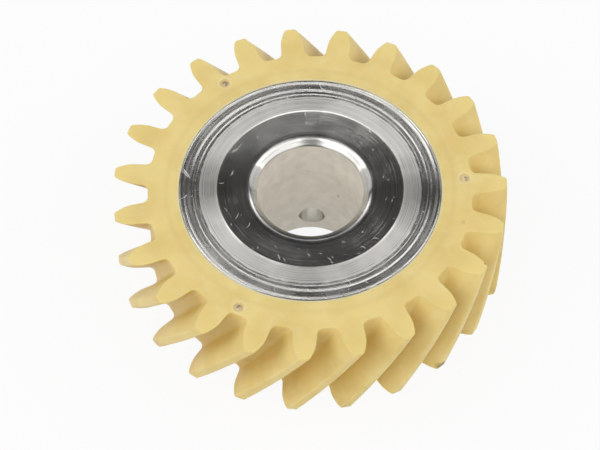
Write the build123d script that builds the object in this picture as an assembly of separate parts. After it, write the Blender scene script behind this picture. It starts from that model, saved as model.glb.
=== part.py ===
from build123d import *
import math
import os

# Helical gear: a moulded plastic toothed ring held on the rim of a turned steel hub.
# Millimetres and degrees. +Z is the bore axis, the origin is the centre of the hub's
# lower end, and the cross hole for the pin runs along Y.

# Toothed ring
TEETH = 23
TIP_RADIUS = 23.34
ROOT_RADIUS = 19.25
FACE_WIDTH = 12.0
LEAD_TURN = 19.12               # the teeth turn this far over the face width, right hand
SPACE_BEARING = 90.0            # on the upper face one tooth space is centred on +Y
FLANK_FOOT = (19.56, 4.33)      # radius, and half the angle that the tooth fills there
FLANK_KNEE = (20.78, 3.87)      # the straight lower flank ends here
FLANK_BULGE = (22.0, 3.20)      # the rounded upper flank passes here
FLANK_HEAD = (TIP_RADIUS, 1.50)
ROOT_FILLET = 0.8
HEAD_FILLET = 0.15

# Hub
HUB_LENGTH = 19.05
BORE_DIAMETER = 12.7
BOSS_DIAMETER = 22.2
FLANGE_RADIUS = 15.58           # where metal and plastic meet on both faces of the ring
LAND_RISE = 0.30                # the polished land stands this far above the ring's upper face
FLANGE_RECESS = 0.5             # the flange's lower side lies this far inside the ring's lower face
BORE_MOUTH = 0.56               # width and height of the 45 degree mouth of the bore
MOUTH_ROUND = 1.0               # radius that blends the mouth into the land
BORE_EXIT = 0.15                # edge break at the lower end of the bore
BOSS_EDGE = 0.5                 # chamfer round the lower end of the boss
BOSS_FILLET = 0.8               # between the boss and the flange
PIN_HOLE_DIAMETER = 3.175
PIN_HOLE_HEIGHT = 3.0           # from the lower end of the hub

# Turned face between the land and the plastic: radii, and heights off the ring's upper face
LAND_EDGE_RADIUS = 11.30        # foot of the land's small edge break
LAND_EDGE_HEIGHT = 0.12
BAND_END_RADIUS = 13.15         # foot of the smooth sloping band
GROOVE_RADII = (13.60, 14.30, 15.05)
GROOVE_HALF_WIDTH = 0.22
GROOVE_DEPTH = 0.07

# Keys on the flange's rim, which hold the plastic
KEYS = 24
KEY_RADIUS = 16.6
KEY_WIDTH = 2.0
KEY_HEIGHT = 8.0

BORE_RADIUS = BORE_DIAMETER / 2
BOSS_RADIUS = BOSS_DIAMETER / 2
RING_TOP = HUB_LENGTH - LAND_RISE
RING_BOTTOM = RING_TOP - FACE_WIDTH
FLANGE_BOTTOM = RING_BOTTOM + FLANGE_RECESS
RING_MIDDLE = (RING_TOP + RING_BOTTOM) / 2
HALF_PITCH = 180 / TEETH         # in degrees, as every angle here
CORNER_TOLERANCE = 0.001


def polar(radius, bearing):
    """A point of the transverse plane, from its radius and its angle off the X axis."""
    turn = math.radians(bearing)
    return (radius * math.cos(turn), radius * math.sin(turn))


def arc(radius, start, end):
    """An arc about the gear's axis, from one bearing to another."""
    return ThreePointArc(polar(radius, start), polar(radius, (start + end) / 2), polar(radius, end))


def half_angle_at_root():
    """Half the tooth's angle where the straight lower flank runs into the root circle."""
    foot, knee = polar(*FLANK_FOOT), polar(*FLANK_KNEE)
    slope = (knee[1] - foot[1]) / (knee[0] - foot[0])
    half_width = foot[1] + slope * (ROOT_RADIUS - foot[0])
    return math.degrees(math.asin(half_width / ROOT_RADIUS))


def tooth_edges():
    """One tooth about the X axis, and the root arc that runs from it to the next."""
    root = half_angle_at_root()
    edges = [
        arc(TIP_RADIUS, -FLANK_HEAD[1], FLANK_HEAD[1]),
        arc(ROOT_RADIUS, root, 2 * HALF_PITCH - root),
    ]
    for side in (-1, 1):
        foot, knee, bulge, head = [
            polar(radius, side * half_angle)
            for radius, half_angle in ((ROOT_RADIUS, root), FLANK_KNEE, FLANK_BULGE, FLANK_HEAD)
        ]
        edges += [Line(foot, knee), ThreePointArc(knee, bulge, head)]
    return edges


def corners_at(outline, radius):
    """The outline's corners on one circle about the gear's axis."""
    return [
        corner for corner in outline.vertices()
        if abs(math.hypot(corner.X, corner.Y) - radius) < CORNER_TOLERANCE
    ]


def gear_outline():
    """The transverse section of the teeth, as it stands on the ring's upper face."""
    edges = []
    for index in range(TEETH):
        turn = Rot(0, 0, SPACE_BEARING + (2 * index + 1) * HALF_PITCH)
        edges += [turn * edge for edge in tooth_edges()]
    outline = make_face(edges)
    outline = fillet(corners_at(outline, ROOT_RADIUS), ROOT_FILLET)
    return fillet(corners_at(outline, TIP_RADIUS), HEAD_FILLET)


def keys():
    """Blocks round the flange's rim, halfway up the ring."""
    depth = 2 * (KEY_RADIUS - FLANGE_RADIUS)
    block = Box(depth, KEY_WIDTH, KEY_HEIGHT)
    return Pos(0, 0, RING_MIDDLE) * PolarLocations(KEY_RADIUS - depth / 2, KEYS) * block


def toothed_ring():
    """Helical teeth round a hole that fits the flange and its keys."""
    lower_face = Pos(0, 0, RING_BOTTOM) * Rot(0, 0, -LEAD_TURN) * gear_outline()
    teeth = Solid.extrude_linear_with_rotation(
        lower_face.face(), (0, 0, RING_BOTTOM), (0, 0, FACE_WIDTH), LEAD_TURN
    )
    hole = Pos(0, 0, RING_MIDDLE) * Cylinder(FLANGE_RADIUS, 2 * FACE_WIDTH)
    return teeth - hole - keys()


def hub_section():
    """Half section of the hub, in the XZ plane."""
    mouth_turn = math.radians(45)
    land_start = (BORE_RADIUS + BORE_MOUTH + MOUTH_ROUND * math.sin(mouth_turn), HUB_LENGTH)
    mouth_top = (BORE_RADIUS + BORE_MOUTH, HUB_LENGTH - MOUTH_ROUND * (1 - math.cos(mouth_turn)))
    land_to_bore = [
        TangentArc(land_start, mouth_top, tangent=(-1, 0)),
        Line(mouth_top, (BORE_RADIUS, mouth_top[1] - BORE_MOUTH)),
    ]
    bore_to_rim = Polyline(
        (BORE_RADIUS, mouth_top[1] - BORE_MOUTH),
        (BORE_RADIUS, BORE_EXIT),
        (BORE_RADIUS + BORE_EXIT, 0),
        (BOSS_RADIUS - BOSS_EDGE, 0),
        (BOSS_RADIUS, BOSS_EDGE),
        (BOSS_RADIUS, FLANGE_BOTTOM),
        (FLANGE_RADIUS, FLANGE_BOTTOM),
        (FLANGE_RADIUS, RING_TOP),
    )
    grooved_face = []
    outer = (FLANGE_RADIUS, RING_TOP)
    for radius in reversed(GROOVE_RADII):
        start, end = (radius + GROOVE_HALF_WIDTH, RING_TOP), (radius - GROOVE_HALF_WIDTH, RING_TOP)
        grooved_face += [Line(outer, start), ThreePointArc(start, (radius, RING_TOP - GROOVE_DEPTH), end)]
        outer = end
    band_and_land = Polyline(
        outer,
        (BAND_END_RADIUS, RING_TOP),
        (LAND_EDGE_RADIUS, RING_TOP + LAND_EDGE_HEIGHT),
        (BOSS_RADIUS, HUB_LENGTH),
        land_start,
    )
    section = make_face([*bore_to_rim.edges(), *grooved_face, *band_and_land.edges(), *land_to_bore])
    inner_corner = section.vertices().sort_by_distance((BOSS_RADIUS, FLANGE_BOTTOM, 0))[0]
    return Plane.XZ * fillet(inner_corner, BOSS_FILLET)


def hub():
    """Turned hub with its keys and the cross hole for the pin."""
    turned = revolve(hub_section(), Axis.Z)
    drill = Cylinder(PIN_HOLE_DIAMETER / 2, 2 * BOSS_DIAMETER)
    pin_hole = Pos(0, 0, PIN_HOLE_HEIGHT) * Rot(90, 0, 0) * drill
    return turned + keys() - pin_hole


os.makedirs("parts", exist_ok=True)
for name, solid in {"toothed_ring": toothed_ring(), "hub": hub()}.items():
    solid.label = name
    export_step(solid, f"parts/{name}.step")
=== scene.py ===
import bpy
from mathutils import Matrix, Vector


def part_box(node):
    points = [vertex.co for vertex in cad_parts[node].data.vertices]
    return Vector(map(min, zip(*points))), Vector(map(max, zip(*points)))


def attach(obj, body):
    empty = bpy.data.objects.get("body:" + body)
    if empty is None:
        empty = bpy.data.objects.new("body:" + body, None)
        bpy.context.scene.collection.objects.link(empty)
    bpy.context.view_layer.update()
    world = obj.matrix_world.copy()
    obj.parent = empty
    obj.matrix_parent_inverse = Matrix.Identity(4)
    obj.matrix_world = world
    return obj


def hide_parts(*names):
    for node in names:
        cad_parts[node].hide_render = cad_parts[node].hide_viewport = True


bl_info = {
    "name": "Helical gear",
    "version": (1, 0, 0),
    "blender": (4, 5, 0),
    "location": "View3D > Sidebar > Gear",
    "description": "Builds a helical gear with a moulded toothed ring on a turned steel hub, and a studio",
    "category": "Add Mesh",
}

import math
import random

import bmesh
import bpy
from bpy.props import FloatProperty, FloatVectorProperty, IntProperty, PointerProperty
from mathutils import Matrix, Vector, noise

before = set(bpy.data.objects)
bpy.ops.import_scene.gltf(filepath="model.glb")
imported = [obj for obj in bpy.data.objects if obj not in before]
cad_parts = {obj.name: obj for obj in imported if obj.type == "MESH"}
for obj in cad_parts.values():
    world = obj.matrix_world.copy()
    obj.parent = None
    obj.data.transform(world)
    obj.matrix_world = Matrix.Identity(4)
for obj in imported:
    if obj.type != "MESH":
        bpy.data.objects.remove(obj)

MM = 0.001
AXIS = (0, 0, 1)
CENTRE = (0, 0, 0)
MERGE = 0.001 * MM              # points closer than this are one point
SECTORS = 24

# The frame's own sizes. The ring and the hub share the Z axis.
RING_LOW, RING_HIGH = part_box("toothed_ring")
HUB_LOW, HUB_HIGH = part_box("hub")
RING_TOP = RING_HIGH.z
RING_BOTTOM = RING_LOW.z
GATE_RADIUS = 0.64 * MM
GATE_CIRCLE = 18.35 * MM
GATE_BEARINGS = [math.radians(angle) for angle in (6.3, 126.1, 245.0)]


# ---------------------------------------------------------------- settings

class GearRingSettings(bpy.types.PropertyGroup):
    teeth: IntProperty(name="Teeth", description="Number of teeth", default=23, min=8)
    tip_radius: FloatProperty(
        name="Tip radius", description="Radius over the teeth",
        default=RING_HIGH.x, unit="LENGTH", subtype="DISTANCE")
    root_radius: FloatProperty(
        name="Root radius", description="Radius at the bottom of the tooth spaces",
        default=19.25 * MM, unit="LENGTH", subtype="DISTANCE")
    lead_turn: FloatProperty(
        name="Turn over the face", description="How far the teeth turn from the lower to the upper face",
        default=math.radians(19.12), unit="ROTATION", subtype="ANGLE")
    hole_radius: FloatProperty(
        name="Hole radius", description="Where the plastic meets the hub",
        default=15.58 * MM, unit="LENGTH", subtype="DISTANCE")
    edge_round: FloatProperty(
        name="Edge round", description="Radius of the moulded edges of the two faces",
        default=0.14 * MM, unit="LENGTH", subtype="DISTANCE")
    plastic: FloatVectorProperty(
        name="Plastic", description="Colour of the moulded plastic",
        default=(0.85, 0.68, 0.28), subtype="COLOR", min=0, max=1)


class GearHubSettings(bpy.types.PropertyGroup):
    bore_radius: FloatProperty(
        name="Bore radius", description="Radius of the shaft bore",
        default=6.35 * MM, unit="LENGTH", subtype="DISTANCE")
    boss_radius: FloatProperty(
        name="Boss radius", description="Radius of the boss and of the polished land",
        default=11.1 * MM, unit="LENGTH", subtype="DISTANCE")
    pin_radius: FloatProperty(
        name="Pin hole radius", description="Radius of the cross hole through the boss",
        default=1.5875 * MM, unit="LENGTH", subtype="DISTANCE")
    pin_height: FloatProperty(
        name="Pin hole height", description="Height of the cross hole above the boss's end",
        default=3.0 * MM, unit="LENGTH", subtype="DISTANCE")
    steel: FloatVectorProperty(
        name="Steel", description="Colour of the turned steel",
        default=(0.62, 0.61, 0.585), subtype="COLOR", min=0, max=1)
    bore_grey: FloatVectorProperty(
        name="Bore", description="Colour of the matt wall of the bore",
        default=(0.88, 0.84, 0.76), subtype="COLOR", min=0, max=1)


class GearStudioSettings(bpy.types.PropertyGroup):
    azimuth: FloatProperty(
        name="Camera azimuth", description="Angle of the camera round the gear, from straight in front",
        default=math.radians(2.146), unit="ROTATION", subtype="ANGLE")
    elevation: FloatProperty(
        name="Camera elevation", description="Angle of the camera above the floor",
        default=math.radians(57.587), unit="ROTATION", subtype="ANGLE")
    roll: FloatProperty(
        name="Camera roll", description="Turn of the camera about its own axis",
        default=math.radians(-0.277), unit="ROTATION", subtype="ANGLE")
    distance: FloatProperty(
        name="Camera distance", description="From the camera to the point that it looks at",
        default=363.6 * MM, unit="LENGTH", subtype="DISTANCE")
    lens: FloatProperty(
        name="Lens", description="Focal length of the camera in millimetres",
        default=185.74, subtype="DISTANCE_CAMERA")
    floor: FloatVectorProperty(
        name="Floor", description="Colour of the studio floor",
        default=(0.86, 0.86, 0.86), subtype="COLOR", min=0, max=1)


# ---------------------------------------------------------------- helpers

def polar(radius, angle, height=0.0):
    """A point from its radius, its angle off the X axis and its height."""
    return Vector((radius * math.cos(angle), radius * math.sin(angle), height))


def verts_of(geom):
    return [part for part in geom if isinstance(part, bmesh.types.BMVert)]


def edges_of(geom):
    return [part for part in geom if isinstance(part, bmesh.types.BMEdge)]


def faces_of(geom):
    return [part for part in geom if isinstance(part, bmesh.types.BMFace)]


def start_chain(bm, point):
    """A lone vertex, from which a chain of edges is drawn."""
    return bmesh.ops.create_vert(bm, co=point)["vert"][0]


def line_to(bm, vert, point):
    """Draw a straight edge from a vertex, and return its far end."""
    end = verts_of(bmesh.ops.extrude_vert_indiv(bm, verts=[vert])["verts"])[0]
    end.co = point
    return end


def arc_to(bm, vert, centre, angle, steps):
    """Spin a vertex about a centre into an arc, and return its far end."""
    spun = bmesh.ops.spin(
        bm, geom=[vert], cent=centre, axis=AXIS, angle=angle, steps=steps, use_duplicate=False)
    return verts_of(spun["geom_last"])[0]


def circle_through(first, second, third):
    """Centre and radius of the circle through three points of the XY plane."""
    ax, ay, bx, by, cx, cy = *first.xy, *second.xy, *third.xy
    d = 2 * (ax * (by - cy) + bx * (cy - ay) + cx * (ay - by))
    a2, b2, c2 = first.xy.length_squared, second.xy.length_squared, third.xy.length_squared
    centre = Vector((
        (a2 * (by - cy) + b2 * (cy - ay) + c2 * (ay - by)) / d,
        (a2 * (cx - bx) + b2 * (ax - cx) + c2 * (bx - ax)) / d,
        0,
    ))
    return centre, (first - centre).length


def spin_round(bm, geom, steps):
    """Turn a chain of edges into a closed surface about the gear's axis: one sector, then its copies."""
    sector = 2 * math.pi / SECTORS
    before = set(bm.verts) - set(verts_of(geom))
    bmesh.ops.spin(
        bm, geom=geom, cent=CENTRE, axis=AXIS, angle=sector, steps=steps // SECTORS, use_duplicate=False)
    verts = [vert for vert in bm.verts if vert not in before]
    edges = list({edge for vert in verts for edge in vert.link_edges})
    faces = list({face for vert in verts for face in vert.link_faces})
    bmesh.ops.spin(
        bm, geom=verts + edges + faces, cent=CENTRE, axis=AXIS, angle=2 * math.pi - sector,
        steps=SECTORS - 1, use_duplicate=True)
    bmesh.ops.remove_doubles(bm, verts=[vert for vert in bm.verts if vert not in before], dist=MERGE)


def finished_piece(name, bm, materials, sharp_angle=35):
    """Make an object from a bmesh, with its place in its mesh."""
    mesh = bpy.data.meshes.new(name)
    bm.to_mesh(mesh)
    bm.free()
    for material in materials:
        mesh.materials.append(material)
    mesh.shade_smooth()
    mesh.set_sharp_from_angle(angle=math.radians(sharp_angle))
    piece = bpy.data.objects.new(name, mesh)
    bpy.context.scene.collection.objects.link(piece)
    return piece


class NodeTree:
    """Short calls for the nodes of one material."""

    def __init__(self, name):
        self.material = bpy.data.materials.new(name)
        self.material.use_nodes = True
        self.nodes = self.material.node_tree.nodes
        self.links = self.material.node_tree.links
        self.shader = self.nodes["Principled BSDF"]

    def add(self, kind, **settings):
        node = self.nodes.new(kind)
        for key, value in settings.items():
            setattr(node, key, value)
        return node

    def join(self, source, target):
        self.links.new(source, target)

    def math(self, operation, first, second=0.0):
        node = self.add("ShaderNodeMath", operation=operation)
        for socket, value in zip(node.inputs, (first, second)):
            if isinstance(value, (int, float)):
                socket.default_value = value
            else:
                self.join(value, socket)
        return node.outputs[0]

    def place(self):
        return self.add("ShaderNodeTexCoord").outputs["Object"]

    def radius(self):
        """Distance from the gear's axis, in millimetres."""
        split = self.add("ShaderNodeSeparateXYZ")
        self.join(self.place(), split.inputs[0])
        node = self.add("ShaderNodeVectorMath", operation="LENGTH")
        flat = self.add("ShaderNodeCombineXYZ")
        self.join(split.outputs[0], flat.inputs[0])
        self.join(split.outputs[1], flat.inputs[1])
        self.join(flat.outputs[0], node.inputs[0])
        return self.math("DIVIDE", node.outputs["Value"], MM)

    def height(self):
        """Height above the hub's lower end, in millimetres."""
        split = self.add("ShaderNodeSeparateXYZ")
        self.join(self.place(), split.inputs[0])
        return self.math("DIVIDE", split.outputs[2], MM)

    def noise(self, scale, detail=3.0, roughness=0.5, vector=None):
        node = self.add("ShaderNodeTexNoise")
        self.join(vector or self.place(), node.inputs["Vector"])
        node.inputs["Scale"].default_value = scale
        node.inputs["Detail"].default_value = detail
        node.inputs["Roughness"].default_value = roughness
        return node.outputs[0]

    def bell(self, value, centre, width):
        """1 where a value is at the centre, falling to 0 either side of it."""
        offset = self.math("DIVIDE", self.math("SUBTRACT", value, centre), width)
        return self.math("EXPONENT", self.math("MULTIPLY", self.math("POWER", offset, 2), -1))

    def spot(self, centre, size):
        """1 at a point of the piece, falling to 0 at a distance from it."""
        node = self.add("ShaderNodeVectorMath", operation="DISTANCE")
        self.join(self.place(), node.inputs[0])
        node.inputs[1].default_value = centre
        return self.ramp(node.outputs["Value"], 0.4 * size, size, 1, 0)

    def ring(self, centre, radius, width):
        """1 at a distance from a point of the piece, falling to 0 either side of it."""
        node = self.add("ShaderNodeVectorMath", operation="DISTANCE")
        self.join(self.place(), node.inputs[0])
        node.inputs[1].default_value = centre
        return self.bell(node.outputs["Value"], radius, width)

    def ramp(self, factor, low, high, to_low=0.0, to_high=1.0):
        node = self.add("ShaderNodeMapRange")
        self.join(factor, node.inputs["Value"])
        for name, value in zip(("From Min", "From Max", "To Min", "To Max"), (low, high, to_low, to_high)):
            node.inputs[name].default_value = value
        return node.outputs[0]

    def mix(self, factor, first, second, blend="MIX"):
        node = self.add("ShaderNodeMix", data_type="RGBA", blend_type=blend)
        for socket, value in zip((node.inputs[0], node.inputs[6], node.inputs[7]), (factor, first, second)):
            if isinstance(value, bpy.types.NodeSocket):
                self.join(value, socket)
            elif isinstance(value, (int, float)):
                socket.default_value = value
            else:
                socket.default_value = (*value, 1)
        return node.outputs[2]

    def bump(self, height, strength, distance, normal=None):
        node = self.add("ShaderNodeBump")
        node.inputs["Strength"].default_value = strength
        node.inputs["Distance"].default_value = distance
        self.join(height, node.inputs["Height"])
        if normal:
            self.join(normal, node.inputs["Normal"])
        return node.outputs[0]


# ---------------------------------------------------------------- materials

def moulded_plastic():
    """Cream-yellow moulded plastic: mottled, with a few stains; paler against the hub as a painted highlight, with
    painted shade in the tooth spaces and in a ring round the hub, and a painted highlight and shade at each gate.
    """
    tree = NodeTree("moulded_plastic")
    shader = tree.shader
    colour = tuple(bpy.context.scene.gear_ring.plastic)
    radius, height = tree.radius(), tree.height()
    base = tree.mix(tree.ramp(tree.noise(210, detail=5), 0.36, 0.66), colour, (0.78, 0.60, 0.225))
    pale = tree.math("MULTIPLY", tree.ramp(tree.noise(650, detail=4), 0.52, 0.7), 0.2)
    base = tree.mix(pale, base, (0.90, 0.78, 0.46))
    # painted shade: the tooth spaces are a deeper ochre low down and towards the root
    painted_root_shade = tree.math("MULTIPLY", tree.ramp(height, 18.6, 18.1), tree.ramp(radius, 21.5, 19.3))
    base = tree.mix(tree.math("MULTIPLY", painted_root_shade, 0.25), base, (0.74, 0.50, 0.13))
    # painted shade: a faint browner ring round the hub at about 17 mm radius
    base = tree.mix(tree.math("MULTIPLY", tree.bell(radius, 17.05, 0.35), 0.14), base, (0.62, 0.44, 0.19))
    tips = tree.math("MULTIPLY", tree.ramp(radius, 20.5, 22.5), tree.ramp(height, 18.4, 18.7))
    base = tree.mix(tree.math("MULTIPLY", tips, 0.5), base, (0.86, 0.70, 0.27))
    # painted highlight: a pale band on the plastic where it meets the hub
    painted_hub_highlight = tree.math("MULTIPLY", tree.bell(radius, 15.60, 0.16), 0.75)
    base = tree.mix(painted_hub_highlight, base, (0.82, 0.72, 0.48))
    low = tree.math("MULTIPLY", tree.ramp(height, 8.2, 6.8), tree.ramp(tree.noise(420), 0.5, 0.62))
    base = tree.mix(tree.math("MULTIPLY", low, 0.25), base, (0.42, 0.30, 0.13))
    for bearing, distance, rise, size, strength in STAINS:
        centre = polar(distance * MM, math.radians(bearing), rise * MM)
        patchy = tree.ramp(tree.noise(900, detail=4), 0.3, 0.6, 0.4, 1)
        mask = tree.math("MULTIPLY", tree.math("MULTIPLY", tree.spot(centre, size * MM), patchy), strength)
        base = tree.mix(mask, base, (0.20, 0.12, 0.04))
    for bearing in GATE_BEARINGS:
        centre = polar(GATE_CIRCLE, bearing, RING_TOP)
        # painted highlight: a pale ring round the rim of each gate recess; painted shade: a dark ring on the recess's
        # wall
        base = tree.mix(tree.math("MULTIPLY", tree.ring(centre, 0.74 * MM, 0.18 * MM), 0.22), base, (0.95, 0.86, 0.62))
        base = tree.mix(tree.math("MULTIPLY", tree.ring(centre, 0.55 * MM, 0.10 * MM), 0.2), base, (0.40, 0.27, 0.11))
    tree.join(base, shader.inputs["Base Color"])
    shader.inputs["Roughness"].default_value = 0.48
    shader.inputs["Specular IOR Level"].default_value = 0.3
    shader.inputs["Subsurface Weight"].default_value = 0.25
    shader.inputs["Subsurface Radius"].default_value = (1.0, 0.6, 0.2)
    shader.inputs["Subsurface Scale"].default_value = 1.2 * MM
    waves = tree.bump(tree.noise(420, detail=2), 0.25, 0.06 * MM)
    grain = tree.noise(2600, detail=3)
    tree.join(tree.bump(grain, 0.2, 0.02 * MM, waves), shader.inputs["Normal"])
    return tree.material


def torn_plastic():
    """Bruised grey-brown plastic where a gate was torn off."""
    tree = NodeTree("torn_plastic")
    shader = tree.shader
    patches = tree.ramp(tree.noise(1900, detail=3), 0.42, 0.56)
    tree.join(tree.mix(patches, (0.74, 0.62, 0.42), (0.34, 0.25, 0.18)), shader.inputs["Base Color"])
    shader.inputs["Roughness"].default_value = 0.7
    tree.join(tree.bump(tree.noise(4000), 0.6, 0.05 * MM), shader.inputs["Normal"])
    return tree.material


def turned_steel(name, roughness, line_depth, shade=1.0, streaks=0.3, painted_front_shade=0.0):
    """Steel with fine tool lines round the axis, which spread its gloss across them."""
    tree = NodeTree(name)
    shader = tree.shader
    shader.inputs["Metallic"].default_value = 1.0
    shader.inputs["Anisotropic"].default_value = 0.95
    shader.inputs["Anisotropic Rotation"].default_value = 0.25
    tangent = tree.add("ShaderNodeTangent", direction_type="RADIAL", axis="Z")
    tree.join(tangent.outputs[0], shader.inputs["Tangent"])
    # the shade scales the steel's colour per finish: painted light and shade, brighter or darker copies of one steel
    steel = tuple(shade * part for part in bpy.context.scene.gear_hub.steel)
    drift = tree.math("MULTIPLY", tree.noise(60, detail=1), 0.25)
    lines = tree.add("ShaderNodeTexNoise", noise_dimensions="1D")
    tree.join(tree.math("ADD", tree.radius(), drift), lines.inputs["W"])
    lines.inputs["Scale"].default_value = 7.0
    lines.inputs["Detail"].default_value = 3.0
    lines.inputs["Roughness"].default_value = 0.75
    waves = tree.add("ShaderNodeTexNoise", noise_dimensions="1D")
    tree.join(tree.radius(), waves.inputs["W"])
    waves.inputs["Scale"].default_value = 2.2
    waves.inputs["Detail"].default_value = 0.0
    patchy = tree.ramp(tree.noise(300, detail=2), 0.4, 0.55, 0.35, 1)
    dark_lines = tree.math("MULTIPLY", tree.ramp(lines.outputs[0], 0.55, 0.40), patchy)
    base = tree.mix(tree.math("MULTIPLY", dark_lines, streaks), steel, tuple(0.25 * part for part in steel))
    # painted shade, not a tear: a ragged dark line along the step where the band ends, at 13.22 mm radius
    torn = tree.math("MULTIPLY", tree.bell(tree.radius(), 13.22, 0.06), tree.ramp(tree.noise(900), 0.42, 0.55))
    base = tree.mix(tree.math("MULTIPLY", torn, 0.8), base, (0.08, 0.08, 0.08))
    # painted shade: the land and the bore mouth are darkened on their front half, near the bore, standing in for a
    # darker reflection there
    if painted_front_shade:
        split = tree.add("ShaderNodeSeparateXYZ")
        tree.join(tree.place(), split.inputs[0])
        front = tree.ramp(split.outputs[1], -2.5 * MM, -6.5 * MM)
        at_mouth = tree.ramp(tree.radius(), 9.2, 7.4)
        painted_shade = tree.math("MULTIPLY", tree.math("MULTIPLY", front, at_mouth), painted_front_shade)
        base = tree.mix(painted_shade, base, (0.04, 0.04, 0.045))
    tree.join(base, shader.inputs["Base Color"])
    rough = tree.ramp(tree.noise(260, detail=4), 0.35, 0.7, 0.85 * roughness, 1.15 * roughness)
    dull_lines = tree.math("MULTIPLY", tree.ramp(lines.outputs[0], 0.54, 0.62), tree.ramp(patchy, 0.7, 0.3))
    rough = tree.math("ADD", rough, tree.math("MULTIPLY", dull_lines, 0.09))
    tree.join(rough, shader.inputs["Roughness"])
    tree.join(tree.bump(waves.outputs[0], 1.0, line_depth * MM), shader.inputs["Normal"])
    return tree.material


def scratched_steel():
    """The torn bottom of a scratch, which looks white from any side."""
    tree = NodeTree("scratched_steel")
    tree.shader.inputs["Metallic"].default_value = 0.4
    tree.shader.inputs["Base Color"].default_value = (0.85, 0.85, 0.82, 1)
    tree.shader.inputs["Roughness"].default_value = 0.4
    grain = tree.noise(9000)
    tree.join(tree.bump(grain, 0.5, 0.02 * MM), tree.shader.inputs["Normal"])
    return tree.material


def drilled_steel():
    """The drilled wall of the cross hole."""
    tree = NodeTree("drilled_hole")
    tree.shader.inputs["Metallic"].default_value = 1.0
    tree.shader.inputs["Base Color"].default_value = (0.85, 0.84, 0.80, 1)
    tree.shader.inputs["Roughness"].default_value = 0.28
    grain = tree.bump(tree.noise(2500, detail=2), 0.3, 0.02 * MM)
    tree.join(grain, tree.shader.inputs["Normal"])
    return tree.material


def matt_bore():
    """The matt wall of the bore, with the line where the reamer stopped and a few dark specks."""
    tree = NodeTree("bore_wall")
    shader = tree.shader
    grey = tuple(bpy.context.scene.gear_hub.bore_grey)
    cloud = tree.ramp(tree.noise(700, detail=4), 0.35, 0.7)
    base = tree.mix(cloud, grey, tuple(0.88 * part for part in grey))
    line = tree.math("MULTIPLY", tree.bell(tree.height(), 13.35, 0.07), tree.ramp(tree.noise(1500), 0.45, 0.6))
    base = tree.mix(tree.math("MULTIPLY", line, 0.7), base, (0.92, 0.90, 0.84))
    for bearing, rise, size in BORE_SPECKS:
        centre = polar(6.35 * MM, math.radians(bearing), rise * MM)
        base = tree.mix(tree.math("MULTIPLY", tree.spot(centre, size * MM), 0.8), base, (0.10, 0.09, 0.07))
    tree.join(base, shader.inputs["Base Color"])
    shader.inputs["Metallic"].default_value = 0.4
    shader.inputs["Roughness"].default_value = 0.5
    grain = tree.bump(tree.noise(3000, detail=3), 0.3, 0.02 * MM)
    tree.join(grain, shader.inputs["Normal"])
    return tree.material


# Stains on the plastic: bearing, radius, height, size and strength
STAINS = (
    (313.5, 23.2, 6.9, 0.9, 0.9),
    (334.6, 22.9, 18.75, 0.16, 0.9),
    (347.0, 18.6, 18.75, 0.35, 0.25),
)
# Specks on the wall of the bore: bearing, height and size
BORE_SPECKS = ((59.3, 8.8, 0.17), (94.1, 12.7, 0.08), (81.1, 13.4, 0.07), (66.0, 5.2, 0.05))


# ---------------------------------------------------------------- toothed ring

FLANK_FOOT = (19.56 * MM, math.radians(4.33))
FLANK_KNEE = (20.78 * MM, math.radians(3.87))
FLANK_BULGE = (22.0 * MM, math.radians(3.20))
HEAD_HALF_ANGLE = math.radians(1.50)
ROOT_FILLET = 0.8 * MM
HEAD_FILLET = 0.15 * MM
WALL_STEPS = 20
EDGE_SEGMENTS = 3
SUPPORT_WIDTH = 0.03 * MM
COLLAR_STEPS = 480
BEAD_WIDTH = 0.20 * MM
GATE_STEPS = ((0.05 * MM, -0.03 * MM), (0.05 * MM, -0.10 * MM), (0.16 * MM, -0.01 * MM))
STUB_STEPS = ((0.03 * MM, 0.05 * MM), (0.08 * MM, 0.05 * MM), (0.1 * MM, 0.0))

HUB_STEPS = 480
FLANGE_BOTTOM = RING_BOTTOM + 0.5 * MM
BOSS_FILLET = 0.8 * MM
MOUTH = 0.56 * MM
MOUTH_ROUND = 1.0 * MM
LAND_SPANS = 14
LAND_FALL = 0.11 * MM
LAND_EDGE = ((0.05, 0.015), (0.085, 0.045), (0.115, 0.075), (0.16, 0.097), (0.25, 0.105))
BAND_SPANS = 18
BAND_END = 13.15 * MM
BAND_FOOT = RING_TOP + 0.03 * MM
BAND_STEP = ((0.04, 0.035), (0.09, 0.045), (0.15, 0.03))
RIM_EDGE = 0.04 * MM
GROOVE_SPAN = 0.045 * MM
GROOVE_START = 13.3
GROOVE_PITCH = 0.33
GROOVE_GROWTH = 0.62
GROOVE_SLOPE = 0.25
RIDGE_START = 14.45
RIDGE_FEED = 1.12
RIDGE_WIDTH = 0.06
RIDGE_HEIGHT = 0.015

SCRATCH_POINTS = 6
SCRATCH_FLATNESS = 1.0

AIM = (-0.001044, -0.005192, 0.01875)
SOFTBOXES = (
    ("left_softbox", -60, 40, 1.2, 1.6, 1.0, 1.85),
    ("right_softbox", 60, 40, 1.2, 1.6, 1.0, 1.6),
    ("left_side_softbox", -108, 30, 1.2, 0.8, 1.0, 0.75),
    ("right_side_softbox", 108, 30, 1.2, 0.8, 1.0, 0.75),
    ("back_softbox", 180, 35, 1.2, 1.7, 0.38, 2.4),
    ("front_softbox", 0, 52, 1.2, 0.8, 0.45, 1.3),
)


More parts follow.
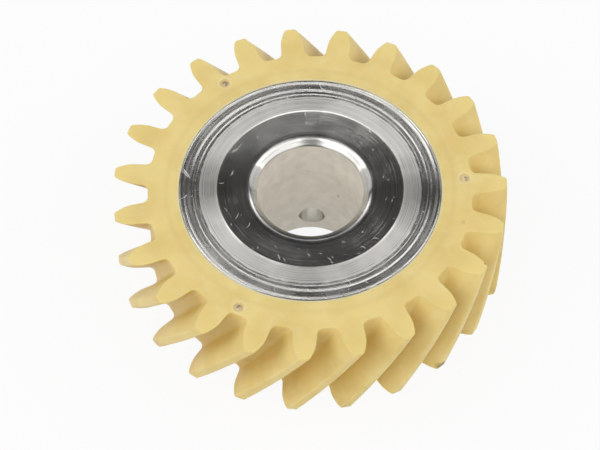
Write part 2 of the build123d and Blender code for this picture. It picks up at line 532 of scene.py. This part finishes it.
def half_tooth(bm, ring):
    """Half of one tooth as a chain, from the middle of a space to the middle of the tooth's head."""
    half_pitch = math.pi / ring.teeth
    foot, knee, bulge = [polar(*point) for point in (FLANK_FOOT, FLANK_KNEE, FLANK_BULGE)]
    head = polar(ring.tip_radius, HEAD_HALF_ANGLE)
    slope = (knee.y - foot.y) / (knee.x - foot.x)
    half_width = foot.y + slope * (ring.root_radius - foot.x)
    corner = polar(ring.root_radius, math.asin(half_width / ring.root_radius))
    along = (knee - corner).normalized()
    outward = Vector((-along.y, along.x, 0))
    beside = corner + outward * ROOT_FILLET
    reach = beside.dot(along)
    to_root = (ring.root_radius + ROOT_FILLET) ** 2
    hollow = beside + along * (math.sqrt(reach ** 2 - beside.length_squared + to_root) - reach)
    vert = start_chain(bm, polar(ring.root_radius, half_pitch))
    root = arc_to(bm, vert, CENTRE, math.atan2(hollow.y, hollow.x) - half_pitch, 3)
    turn = (-outward).xy.angle_signed((-hollow).xy)
    root = arc_to(bm, root, hollow, turn, 7)
    flank = line_to(bm, root, knee)
    centre, radius = circle_through(knee, bulge, head)
    turn = (head - centre).xy.angle_signed((knee - centre).xy)
    crown = arc_to(bm, flank, centre, turn, 8)
    arc_to(bm, crown, CENTRE, -HEAD_HALF_ANGLE, 2)
    return crown


def ring_outline(bm, ring):
    """The whole outline of the teeth at the height 0, turned as on the ring's lower face."""
    crown = half_tooth(bm, ring)
    bmesh.ops.bevel(
        bm, geom=[crown], offset=HEAD_FILLET, offset_type="OFFSET", segments=3,
        profile=0.5, affect="VERTICES", material=-1)
    bmesh.ops.mirror(
        bm, geom=bm.verts[:] + bm.edges[:], matrix=Matrix.Identity(4), merge_dist=MERGE, axis="Y")
    pitch = 2 * math.pi / ring.teeth
    bmesh.ops.spin(
        bm, geom=bm.verts[:] + bm.edges[:], cent=CENTRE, axis=AXIS,
        angle=pitch * (ring.teeth - 1), steps=ring.teeth - 1, use_duplicate=True)
    bmesh.ops.remove_doubles(bm, verts=bm.verts, dist=MERGE)
    first_tooth = math.radians(90) + pitch / 2 - ring.lead_turn
    bmesh.ops.rotate(bm, verts=bm.verts, cent=CENTRE, matrix=Matrix.Rotation(first_tooth, 3, "Z"))


def close_ends(bm, lower, upper):
    """Cap the two ends of the wall, and return both caps, facing outwards."""
    caps = []
    for edges, up in ((lower, -1), (upper, 1)):
        cap = bmesh.ops.contextual_create(bm, geom=edges)["faces"][0]
        cap.normal_update()
        if cap.normal.z * up < 0:
            cap.normal_flip()
        caps.append(cap)
    return caps


def round_rim(bm, face, radius, segments):
    """Carry a cap through a quarter circle, inwards and outwards, so that its rim is rounded."""
    turns = [math.pi / 2 * step / segments for step in range(segments + 1)]
    for start, end in zip(turns, turns[1:]):
        inset(bm, face, radius * (math.cos(start) - math.cos(end)), radius * (math.sin(end) - math.sin(start)))
    inset(bm, face, SUPPORT_WIDTH, 0)


def inset(bm, face, width, rise):
    """Move a face's rim inwards by a width, and the face outwards by a rise."""
    bmesh.ops.inset_individual(bm, faces=[face], thickness=width, depth=rise, use_even_offset=True)


def open_cap(bm, cap):
    """Delete a cap, and return the edges that it leaves open."""
    rim = list(cap.edges)
    bmesh.ops.delete(bm, geom=[cap], context="FACES_ONLY")
    return rim


def collar(bm, ring):
    """The hole for the hub, with the small bead that the mould leaves against the metal."""
    hole = ring.hole_radius
    profile = [
        (hole + 0.30 * MM, RING_BOTTOM),
        (hole, RING_BOTTOM + 0.30 * MM),
        (hole, RING_TOP - 0.02 * MM),
        (hole + 0.01 * MM, RING_TOP + 0.02 * MM),
        (hole + 0.035 * MM, RING_TOP + 0.042 * MM),
        (hole + 0.07 * MM, RING_TOP + 0.036 * MM),
        (hole + 0.13 * MM, RING_TOP + 0.008 * MM),
        (hole + BEAD_WIDTH, RING_TOP),
    ]
    radius, height = profile[0]
    vert = start_chain(bm, Vector((radius, 0, height)))
    chain = [vert]
    for radius, height in profile[1:]:
        vert = line_to(bm, vert, Vector((radius, 0, height)))
        chain.append(vert)
    edges = list({edge for vert in chain for edge in vert.link_edges})
    spin_round(bm, chain + edges, COLLAR_STEPS)


def circle_at(bm, centre, radius):
    """The open edges of the level circle about a centre."""
    return [
        edge for edge in bm.edges
        if edge.is_boundary and all(
            abs(vert.co.z - centre.z) < MERGE and abs((vert.co - centre).xy.length - radius) < MERGE
            for vert in edge.verts)
    ]


def gate(bm, bearing):
    """The recess round one injection gate, with its torn stub in the middle."""
    centre = polar(GATE_CIRCLE, bearing, RING_TOP)
    made = bmesh.ops.create_circle(
        bm, cap_ends=True, segments=28, radius=GATE_RADIUS, matrix=Matrix.Translation(centre))
    floor = made["verts"][0].link_faces[0]
    for width, rise in GATE_STEPS:
        inset(bm, floor, width, rise)
    floor.material_index = 1
    for width, rise in STUB_STEPS:
        inset(bm, floor, width, rise)
    for vert in floor.verts:
        vert.co.z += 0.10 * MM * noise.noise(vert.co * 4000)
    return circle_at(bm, centre, GATE_RADIUS)


def ring_mesh(ring):
    bm = bmesh.new()
    ring_outline(bm, ring)
    bmesh.ops.translate(bm, verts=bm.verts, vec=(0, 0, RING_BOTTOM + ring.edge_round))
    lower = bm.edges[:]
    climb = (RING_TOP - RING_BOTTOM - 2 * ring.edge_round) / WALL_STEPS
    wall = bmesh.ops.spin(
        bm, geom=bm.verts[:] + lower, cent=CENTRE, axis=AXIS, angle=ring.lead_turn,
        steps=WALL_STEPS, dvec=(0, 0, climb), use_duplicate=False)
    caps = close_ends(bm, lower, edges_of(wall["geom_last"]))
    for cap in caps:
        round_rim(bm, cap, ring.edge_round, EDGE_SEGMENTS)
    lower_rim, upper_rim = [open_cap(bm, cap) for cap in caps]
    collar(bm, ring)
    for bearing in GATE_BEARINGS:
        upper_rim += gate(bm, bearing)
    lower_rim += circle_at(bm, Vector((0, 0, RING_BOTTOM)), ring.hole_radius + 0.30 * MM)
    upper_rim += circle_at(bm, Vector((0, 0, RING_TOP)), ring.hole_radius + BEAD_WIDTH)
    for rim, side in ((lower_rim, -1), (upper_rim, 1)):
        bmesh.ops.triangle_fill(bm, edges=rim, normal=(0, 0, side), use_beauty=True)
    bmesh.ops.recalc_face_normals(bm, faces=bm.faces)
    return bm


class GEAR_OT_toothed_ring(bpy.types.Operator):
    """Build the moulded ring of helical teeth"""

    bl_idname = "gear.toothed_ring"
    bl_label = "Toothed ring"

    def execute(self, context):
        ring = context.scene.gear_ring
        piece = finished_piece("toothed_ring_moulding", ring_mesh(ring), [moulded_plastic(), torn_plastic()])
        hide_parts("toothed_ring")
        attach(piece, "root")
        return {"FINISHED"}


# ---------------------------------------------------------------- hub

def hub_profile(hub):
    """Half section of the hub, as points (radius, height) from the foot of the bore round to the boss."""
    bore, boss, rim = hub.bore_radius, hub.boss_radius, bpy.context.scene.gear_ring.hole_radius
    points = [(bore + 0.15 * MM, 0), (bore, 0.15 * MM)]
    points += mouth_points(bore)
    land_start = points[-1][0]
    land_end = boss - 0.05 * MM
    for share in shares(LAND_SPANS):
        points.append((land_start + share * (land_end - land_start), HUB_HIGH.z - LAND_FALL * share ** 1.4))
    edge_radius, edge_height = points[-1]
    points += [(edge_radius + out * MM, edge_height - drop * MM) for out, drop in LAND_EDGE]
    start_radius, start_height = points[-1]
    for share in shares(BAND_SPANS):
        points.append((
            start_radius + share * (BAND_END - start_radius),
            start_height + share * (BAND_FOOT - start_height)))
    points += [(BAND_END + out * MM, BAND_FOOT - drop * MM) for out, drop in BAND_STEP]
    start_radius, start_height = points[-1]
    for share in shares(round((rim - RIM_EDGE - start_radius) / GROOVE_SPAN)):
        points.append((
            start_radius + share * (rim - RIM_EDGE - start_radius),
            start_height + share * (RING_TOP - 0.01 * MM - start_height)))
    points += [(rim, RING_TOP - 0.05 * MM), (rim, FLANGE_BOTTOM + 0.15 * MM), (rim - 0.15 * MM, FLANGE_BOTTOM)]
    for share in (0, *shares(6)):
        turn = math.radians(90 * share)
        points.append((
            boss + BOSS_FILLET * (1 - math.sin(turn)),
            FLANGE_BOTTOM - BOSS_FILLET * (1 - math.cos(turn))))
    points += [(boss, 0.5 * MM), (boss - 0.5 * MM, 0)]
    return points


def shares(count):
    """Even shares of a whole, without its start: 1/count, 2/count, and so on up to 1."""
    return [step / count for step in range(1, count + 1)]


def mouth_points(bore):
    """The 45 degree mouth of the bore, and the round that blends it into the land."""
    slope = math.radians(45)
    round_centre = bore + MOUTH + MOUTH_ROUND * math.sin(slope)
    foot = HUB_HIGH.z - MOUTH_ROUND * (1 - math.cos(slope)) - MOUTH
    points = [(bore, foot - 0.05 * MM)]
    points += [(bore + share * MOUTH, foot + share * MOUTH) for share in (0.06, 0.3, 0.65, 1)]
    for share in shares(8):
        turn = slope * (1 - share)
        points.append((
            round_centre - MOUTH_ROUND * math.sin(turn),
            HUB_HIGH.z - MOUTH_ROUND * (1 - math.cos(turn))))
    return points


def tool_mark(vert):
    """Height of the spiral that the turning tool left as its feed quickened, at a point of the face."""
    radius = vert.co.xy.length / MM
    bearing = math.atan2(vert.co.y, vert.co.x) / (2 * math.pi)
    pitch = GROOVE_PITCH + GROOVE_GROWTH * (radius - GROOVE_START)
    turns = math.log(pitch / GROOVE_PITCH) / GROOVE_GROWTH
    height = GROOVE_SLOPE * pitch / (2 * math.pi) * math.cos(2 * math.pi * (turns - bearing))
    ridge = (radius - RIDGE_START - RIDGE_FEED * (bearing % 1)) / RIDGE_WIDTH
    height += RIDGE_HEIGHT * math.exp(-ridge ** 2)
    return height * smooth_share((radius - GROOVE_START) / 0.15) * smooth_share((15.5 - radius) / 0.1) * MM


def smooth_share(value):
    """A value held between 0 and 1, with soft ends."""
    value = min(max(value, 0), 1)
    return value * value * (3 - 2 * value)


def hub_mesh(hub):
    bm = bmesh.new()
    points = [Vector((radius, 0, height)) for radius, height in hub_profile(hub)]
    first = vert = start_chain(bm, points[0])
    for point in points[1:]:
        vert = line_to(bm, vert, point)
    bmesh.ops.contextual_create(bm, geom=[vert, first])
    spin_round(bm, bm.verts[:] + bm.edges[:], HUB_STEPS)
    for vert in bm.verts:
        if vert.co.z > RING_TOP - 0.04 * MM and GROOVE_START * MM < vert.co.xy.length < 15.5 * MM:
            vert.co.z += tool_mark(vert)
    bmesh.ops.recalc_face_normals(bm, faces=bm.faces)
    for face in bm.faces:
        face.material_index = surface_at(face.calc_center_median(), hub)
    return bm


def surface_at(point, hub):
    """Which finish a face of the hub has: its place in the hub's list of materials."""
    radius = point.xy.length
    if radius < hub.bore_radius + 0.01 * MM:
        return 4
    if point.z < RING_TOP - 0.6 * MM:
        return 5
    if radius < hub.bore_radius + 1.1 * MM:
        return 3
    if radius < hub.boss_radius - 0.04 * MM:
        return 2
    return 0 if radius < BAND_END else 1


def drill(piece, radius, height):
    """Drill the cross hole for the pin through both walls of the boss."""
    bm = bmesh.new()
    place = Matrix.Translation((0, 0, height)) @ Matrix.Rotation(math.radians(90), 4, "X")
    bmesh.ops.create_cone(
        bm, cap_ends=True, segments=48, radius1=radius, radius2=radius, depth=60 * MM, matrix=place)
    mesh = bpy.data.meshes.new("pin_drill")
    bm.to_mesh(mesh)
    bm.free()
    mesh.materials.append(drilled_steel())
    cutter = bpy.data.objects.new("pin_drill", mesh)
    bpy.context.scene.collection.objects.link(cutter)
    cut = piece.modifiers.new("pin_hole", "BOOLEAN")
    cut.object = cutter
    cut.solver = "EXACT"
    cut.material_mode = "TRANSFER"
    graph = bpy.context.evaluated_depsgraph_get()
    drilled = bpy.data.meshes.new_from_object(piece.evaluated_get(graph), depsgraph=graph)
    piece.modifiers.clear()
    old = piece.data
    piece.data = drilled
    bpy.data.meshes.remove(old)
    bpy.data.objects.remove(cutter)


class GEAR_OT_hub(bpy.types.Operator):
    """Build the turned steel hub"""

    bl_idname = "gear.hub"
    bl_label = "Hub"

    def execute(self, context):
        hub = context.scene.gear_hub
        materials = [
            # each finish's shade makes a brighter or darker copy of the one steel: painted light and shade
            turned_steel("turned_band", 0.44, 0.03, shade=1.6, streaks=0.55),
            turned_steel("turned_grooves", 0.26, 0.02, shade=1.15, streaks=0.55),
            # painted shade on the front half of the land and the bore mouth
            turned_steel("polished_land", 0.16, 0.004, shade=1.25, streaks=0.6, painted_front_shade=0.7),
            turned_steel("bore_mouth", 0.22, 0.006, shade=1.2, painted_front_shade=0.9),
            matt_bore(),
            turned_steel("turned_boss", 0.36, 0.01),
        ]
        piece = finished_piece("hub_turning", hub_mesh(hub), materials, sharp_angle=32)
        drill(piece, hub.pin_radius, hub.pin_height)
        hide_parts("hub")
        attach(piece, "root")
        return {"FINISHED"}


# ---------------------------------------------------------------- scratches

# Scratches that show singly: bearing and radius of both ends, sideways bow and half width, in mm
SCRATCHES = (
    (171.1, 15.5, 176.1, 14.3, 0.05, 0.075),
    (172.1, 15.5, 175.6, 14.5, -0.05, 0.05),
    (185.1, 14.6, 187.4, 15.3, 0.1, 0.04),
    (187.4, 15.3, 189.4, 15.55, -0.2, 0.05),
    (223.3, 14.3, 223.1, 15.0, 0.02, 0.04),
    (94.6, 10.2, 94.8, 10.8, 0.1, 0.03),
    (100.0, 11.4, 100.2, 12.6, -0.25, 0.035),
    (103.4, 13.1, 103.8, 13.7, 0.05, 0.035),
    (107.4, 13.15, 107.6, 13.7, -0.05, 0.035),
    (84.1, 14.45, 87.3, 14.9, 0.25, 0.05),
    (72.0, 13.0, 73.3, 13.7, 0.1, 0.035),
    (48.7, 10.7, 50.6, 11.15, 0.3, 0.045),
    (39.2, 10.7, 41.6, 11.15, -0.25, 0.035),
    (50.0, 10.0, 50.6, 10.25, 0.05, 0.03),
    (52.9, 10.75, 53.8, 10.95, 0.05, 0.03),
    (82.4, 10.7, 83.0, 10.95, 0.05, 0.03),
    (104.9, 14.9, 106.0, 15.5, 0.1, 0.035),
    (249.5, 10.05, 252.6, 10.75, 0.04, 0.03),
    (254.0, 10.35, 255.8, 10.7, 0.04, 0.025),
    (270.2, 13.85, 271.2, 14.2, 0.02, 0.03),
    (290.0, 13.2, 291.6, 14.1, 0.05, 0.035),
    (255.0, 14.35, 255.5, 14.8, 0.02, 0.03),
    (298.0, 14.4, 298.8, 14.8, 0.02, 0.03),
    (283.0, 10.0, 285.4, 10.6, 0.1, 0.03),
    (284.8, 10.6, 286.4, 10.8, -0.1, 0.03),
    (307.0, 10.2, 308.8, 10.7, 0.15, 0.035),
    (317.2, 10.2, 319.9, 10.8, 0.1, 0.03),
    (178.0, 10.2, 178.6, 10.8, 0.1, 0.03),
    (168.0, 9.5, 172.0, 9.6, 0.1, 0.04),
    (150.0, 10.1, 154.0, 10.6, -0.15, 0.035),
    (205.0, 9.2, 208.5, 9.9, 0.1, 0.03),
    (216.0, 8.6, 219.0, 9.4, 0.15, 0.035),
    (195.0, 15.45, 200.0, 15.5, 0.05, 0.05),
    (297.0, 15.5, 302.0, 15.5, 0.03, 0.06),
)
# Fields of small nicks: number, bearings, radii, longest length and how far they follow the turning
NICK_FIELDS = (
    (46, (0, 360), (7.9, 10.9), 0.45, 0.3),
    (30, (160, 204), (12.55, 13.1), 0.45, 0.9),
    (26, (253, 296), (12.55, 13.1), 0.45, 0.9),
    (22, (60, 130), (12.4, 13.2), 0.35, 0.8),
    (40, (0, 360), (13.3, 15.3), 0.35, 0.4),
    (34, (0, 360), (11.5, 13.1), 0.30, 0.7),
    (30, (0, 360), (11.05, 11.3), 0.35, 1.0),
)


def add_scratch(curve, hub, start, end, bow, half_width):
    """One bent spline on the hub's face, thinner at both ends."""
    along = end - start
    across = Vector((-along.y, along.x, 0)).normalized()
    spline = curve.splines.new("POLY")
    spline.points.add(SCRATCH_POINTS - 1)
    for index, point in enumerate(spline.points):
        share = index / (SCRATCH_POINTS - 1)
        place = start + share * along + across * bow * math.sin(math.pi * share) * MM
        hit, surface, *_ = hub.ray_cast(Vector((place.x, place.y, HUB_HIGH.z + MM)), Vector((0, 0, -1)))
        height = min(surface.z if hit else RING_TOP, HUB_HIGH.z - half_width * SCRATCH_FLATNESS * MM)
        point.co = (place.x, place.y, height, 1)
        point.radius = half_width * (0.25 + 0.75 * math.sin(math.pi * share))


def random_nick(draw, bearings, radii, longest, follow):
    """Start and end of a small nick, which partly follows the turning."""
    bearing = math.radians(draw.uniform(*bearings))
    start = polar(draw.uniform(*radii) * MM, bearing)
    turn = bearing + math.radians(90) + draw.uniform(-1, 1) * math.radians(90) * (1 - follow)
    length = longest * draw.uniform(0.25, 1) * MM
    return start, start + polar(length, turn)


def scratches_mesh(hub):
    curve = bpy.data.curves.new("scratches", "CURVE")
    curve.dimensions = "3D"
    curve.bevel_depth = 1 * MM
    curve.bevel_resolution = 1
    curve.use_fill_caps = True
    for first, first_radius, last, last_radius, bow, half_width in SCRATCHES:
        start = polar(first_radius * MM, math.radians(first))
        end = polar(last_radius * MM, math.radians(last))
        add_scratch(curve, hub, start, end, bow, half_width)
    draw = random.Random(7)
    for count, bearings, radii, longest, follow in NICK_FIELDS:
        for _ in range(count):
            start, end = random_nick(draw, bearings, radii, longest, follow)
            add_scratch(curve, hub, start, end, draw.uniform(-0.06, 0.06), draw.uniform(0.012, 0.03))
    path = bpy.data.objects.new("scratches", curve)
    bpy.context.scene.collection.objects.link(path)
    graph = bpy.context.evaluated_depsgraph_get()
    bm = bmesh.new()
    bm.from_mesh(path.evaluated_get(graph).to_mesh())
    bpy.data.objects.remove(path)
    return bm


class GEAR_OT_scratches(bpy.types.Operator):
    """Scratch and nick the face of the hub"""

    bl_idname = "gear.scratches"
    bl_label = "Scratches"

    def execute(self, context):
        hub = bpy.data.objects.get("hub_turning")
        if hub is None:
            raise RuntimeError("build the hub before its scratches")
        piece = finished_piece("hub_scratches", scratches_mesh(hub), [scratched_steel()])
        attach(piece, "root")
        return {"FINISHED"}


# ---------------------------------------------------------------- studio

def view_axes(azimuth, elevation, roll):
    """Right, up and backwards directions of a camera."""
    back = Vector((
        math.sin(azimuth) * math.cos(elevation),
        -math.cos(azimuth) * math.cos(elevation),
        math.sin(elevation),
    ))
    right = Vector((math.cos(azimuth), math.sin(azimuth), 0))
    up = back.cross(right)
    return (
        math.cos(roll) * right + math.sin(roll) * up,
        math.cos(roll) * up - math.sin(roll) * right,
        back,
    )


def add_camera(studio):
    right, up, back = view_axes(studio.azimuth, studio.elevation, studio.roll)
    data = bpy.data.cameras.new("camera")
    data.sensor_width = 36
    data.lens = studio.lens
    data.clip_start, data.clip_end = 0.05, 20
    camera = bpy.data.objects.new("camera", data)
    place = Matrix((right, up, back)).transposed().to_4x4()
    place.translation = Vector(AIM) + back * studio.distance
    camera.matrix_world = place
    bpy.context.scene.collection.objects.link(camera)
    bpy.context.scene.camera = camera


def add_softbox(name, azimuth, elevation, distance, width, height, brightness):
    """An area lamp that looks at the gear from a direction, as bright as a share of white."""
    right, up, back = view_axes(math.radians(azimuth), math.radians(elevation), 0)
    data = bpy.data.lights.new(name, "AREA")
    data.shape = "RECTANGLE"
    data.size, data.size_y = width, height
    data.energy = brightness * math.pi * width * height
    lamp = bpy.data.objects.new(name, data)
    place = Matrix((right, up, back)).transposed().to_4x4()
    place.translation = Vector(AIM) + back * distance
    lamp.matrix_world = place
    lamp.visible_camera = False
    bpy.context.scene.collection.objects.link(lamp)


def seen_white(tree):
    """1 for rays that show the background: from the camera, in gloss and through glass."""
    path = tree.add("ShaderNodeLightPath")
    seen = tree.math("MAXIMUM", path.outputs["Is Camera Ray"], path.outputs["Is Glossy Ray"])
    return tree.math("MAXIMUM", seen, path.outputs["Is Transmission Ray"])


def pale_floor():
    tree = NodeTree("pale_floor")
    shader = tree.shader
    shader.inputs["Base Color"].default_value = (*bpy.context.scene.gear_studio.floor, 1)
    shader.inputs["Roughness"].default_value = 0.9
    shader.inputs["Specular IOR Level"].default_value = 0.0
    glow = tree.add("ShaderNodeEmission")
    glow.inputs["Strength"].default_value = 1.0
    mix = tree.add("ShaderNodeMixShader")
    tree.join(tree.math("MULTIPLY", seen_white(tree), 0.9), mix.inputs[0])
    tree.join(shader.outputs[0], mix.inputs[1])
    tree.join(glow.outputs[0], mix.inputs[2])
    tree.join(mix.outputs[0], tree.nodes["Material Output"].inputs["Surface"])
    return tree.material


def add_floor():
    bm = bmesh.new()
    bmesh.ops.create_grid(bm, x_segments=1, y_segments=1, size=4.0)
    floor = finished_piece("floor", bm, [pale_floor()])


def add_world():
    world = bpy.data.worlds.new("studio")
    world.use_nodes = True
    bpy.context.scene.world = world
    nodes, links = world.node_tree.nodes, world.node_tree.links
    room, white = nodes["Background"], nodes.new("ShaderNodeBackground")
    room.inputs["Color"].default_value = (1, 1, 1, 1)
    room.inputs["Strength"].default_value = 0.05
    white.inputs["Strength"].default_value = 1.0
    path, mix = nodes.new("ShaderNodeLightPath"), nodes.new("ShaderNodeMixShader")
    links.new(path.outputs["Is Camera Ray"], mix.inputs[0])
    links.new(room.outputs[0], mix.inputs[1])
    links.new(white.outputs[0], mix.inputs[2])
    links.new(mix.outputs[0], nodes["World Output"].inputs["Surface"])


class GEAR_OT_studio(bpy.types.Operator):
    """Lay the pale floor, and set up the soft lights and the camera"""

    bl_idname = "gear.studio"
    bl_label = "Studio"

    def execute(self, context):
        context.scene.view_settings.view_transform = "Standard"
        add_camera(context.scene.gear_studio)
        add_floor()
        add_world()
        for softbox in SOFTBOXES:
            add_softbox(*softbox)
        return {"FINISHED"}


# ---------------------------------------------------------------- panel

class GEAR_PT_sidebar(bpy.types.Panel):
    bl_idname = "GEAR_PT_sidebar"
    bl_label = "Helical gear"
    bl_space_type = "VIEW_3D"
    bl_region_type = "UI"
    bl_category = "Gear"

    def draw(self, context):
        for settings, operator in (
                ("gear_ring", "gear.toothed_ring"), ("gear_hub", "gear.hub"), ("gear_studio", "gear.studio")):
            box = self.layout.box()
            group = getattr(context.scene, settings)
            for name in group.bl_rna.properties.keys():
                if name not in ("rna_type", "name"):
                    box.prop(group, name)
            box.operator(operator)


SETTINGS = {
    "gear_ring": GearRingSettings,
    "gear_hub": GearHubSettings,
    "gear_studio": GearStudioSettings,
}
CLASSES = (*SETTINGS.values(), GEAR_OT_toothed_ring, GEAR_OT_hub, GEAR_OT_scratches, GEAR_OT_studio, GEAR_PT_sidebar)


def register():
    for cls in CLASSES:
        bpy.utils.register_class(cls)
    for name, group in SETTINGS.items():
        setattr(bpy.types.Scene, name, PointerProperty(type=group))


def unregister():
    for name in SETTINGS:
        delattr(bpy.types.Scene, name)
    for cls in reversed(CLASSES):
        bpy.utils.unregister_class(cls)


def main():
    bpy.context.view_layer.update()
    register()
    bpy.ops.gear.toothed_ring()
    bpy.ops.gear.hub()
    bpy.ops.gear.scratches()
    bpy.ops.gear.studio()


if __name__ == "__main__":
    main()
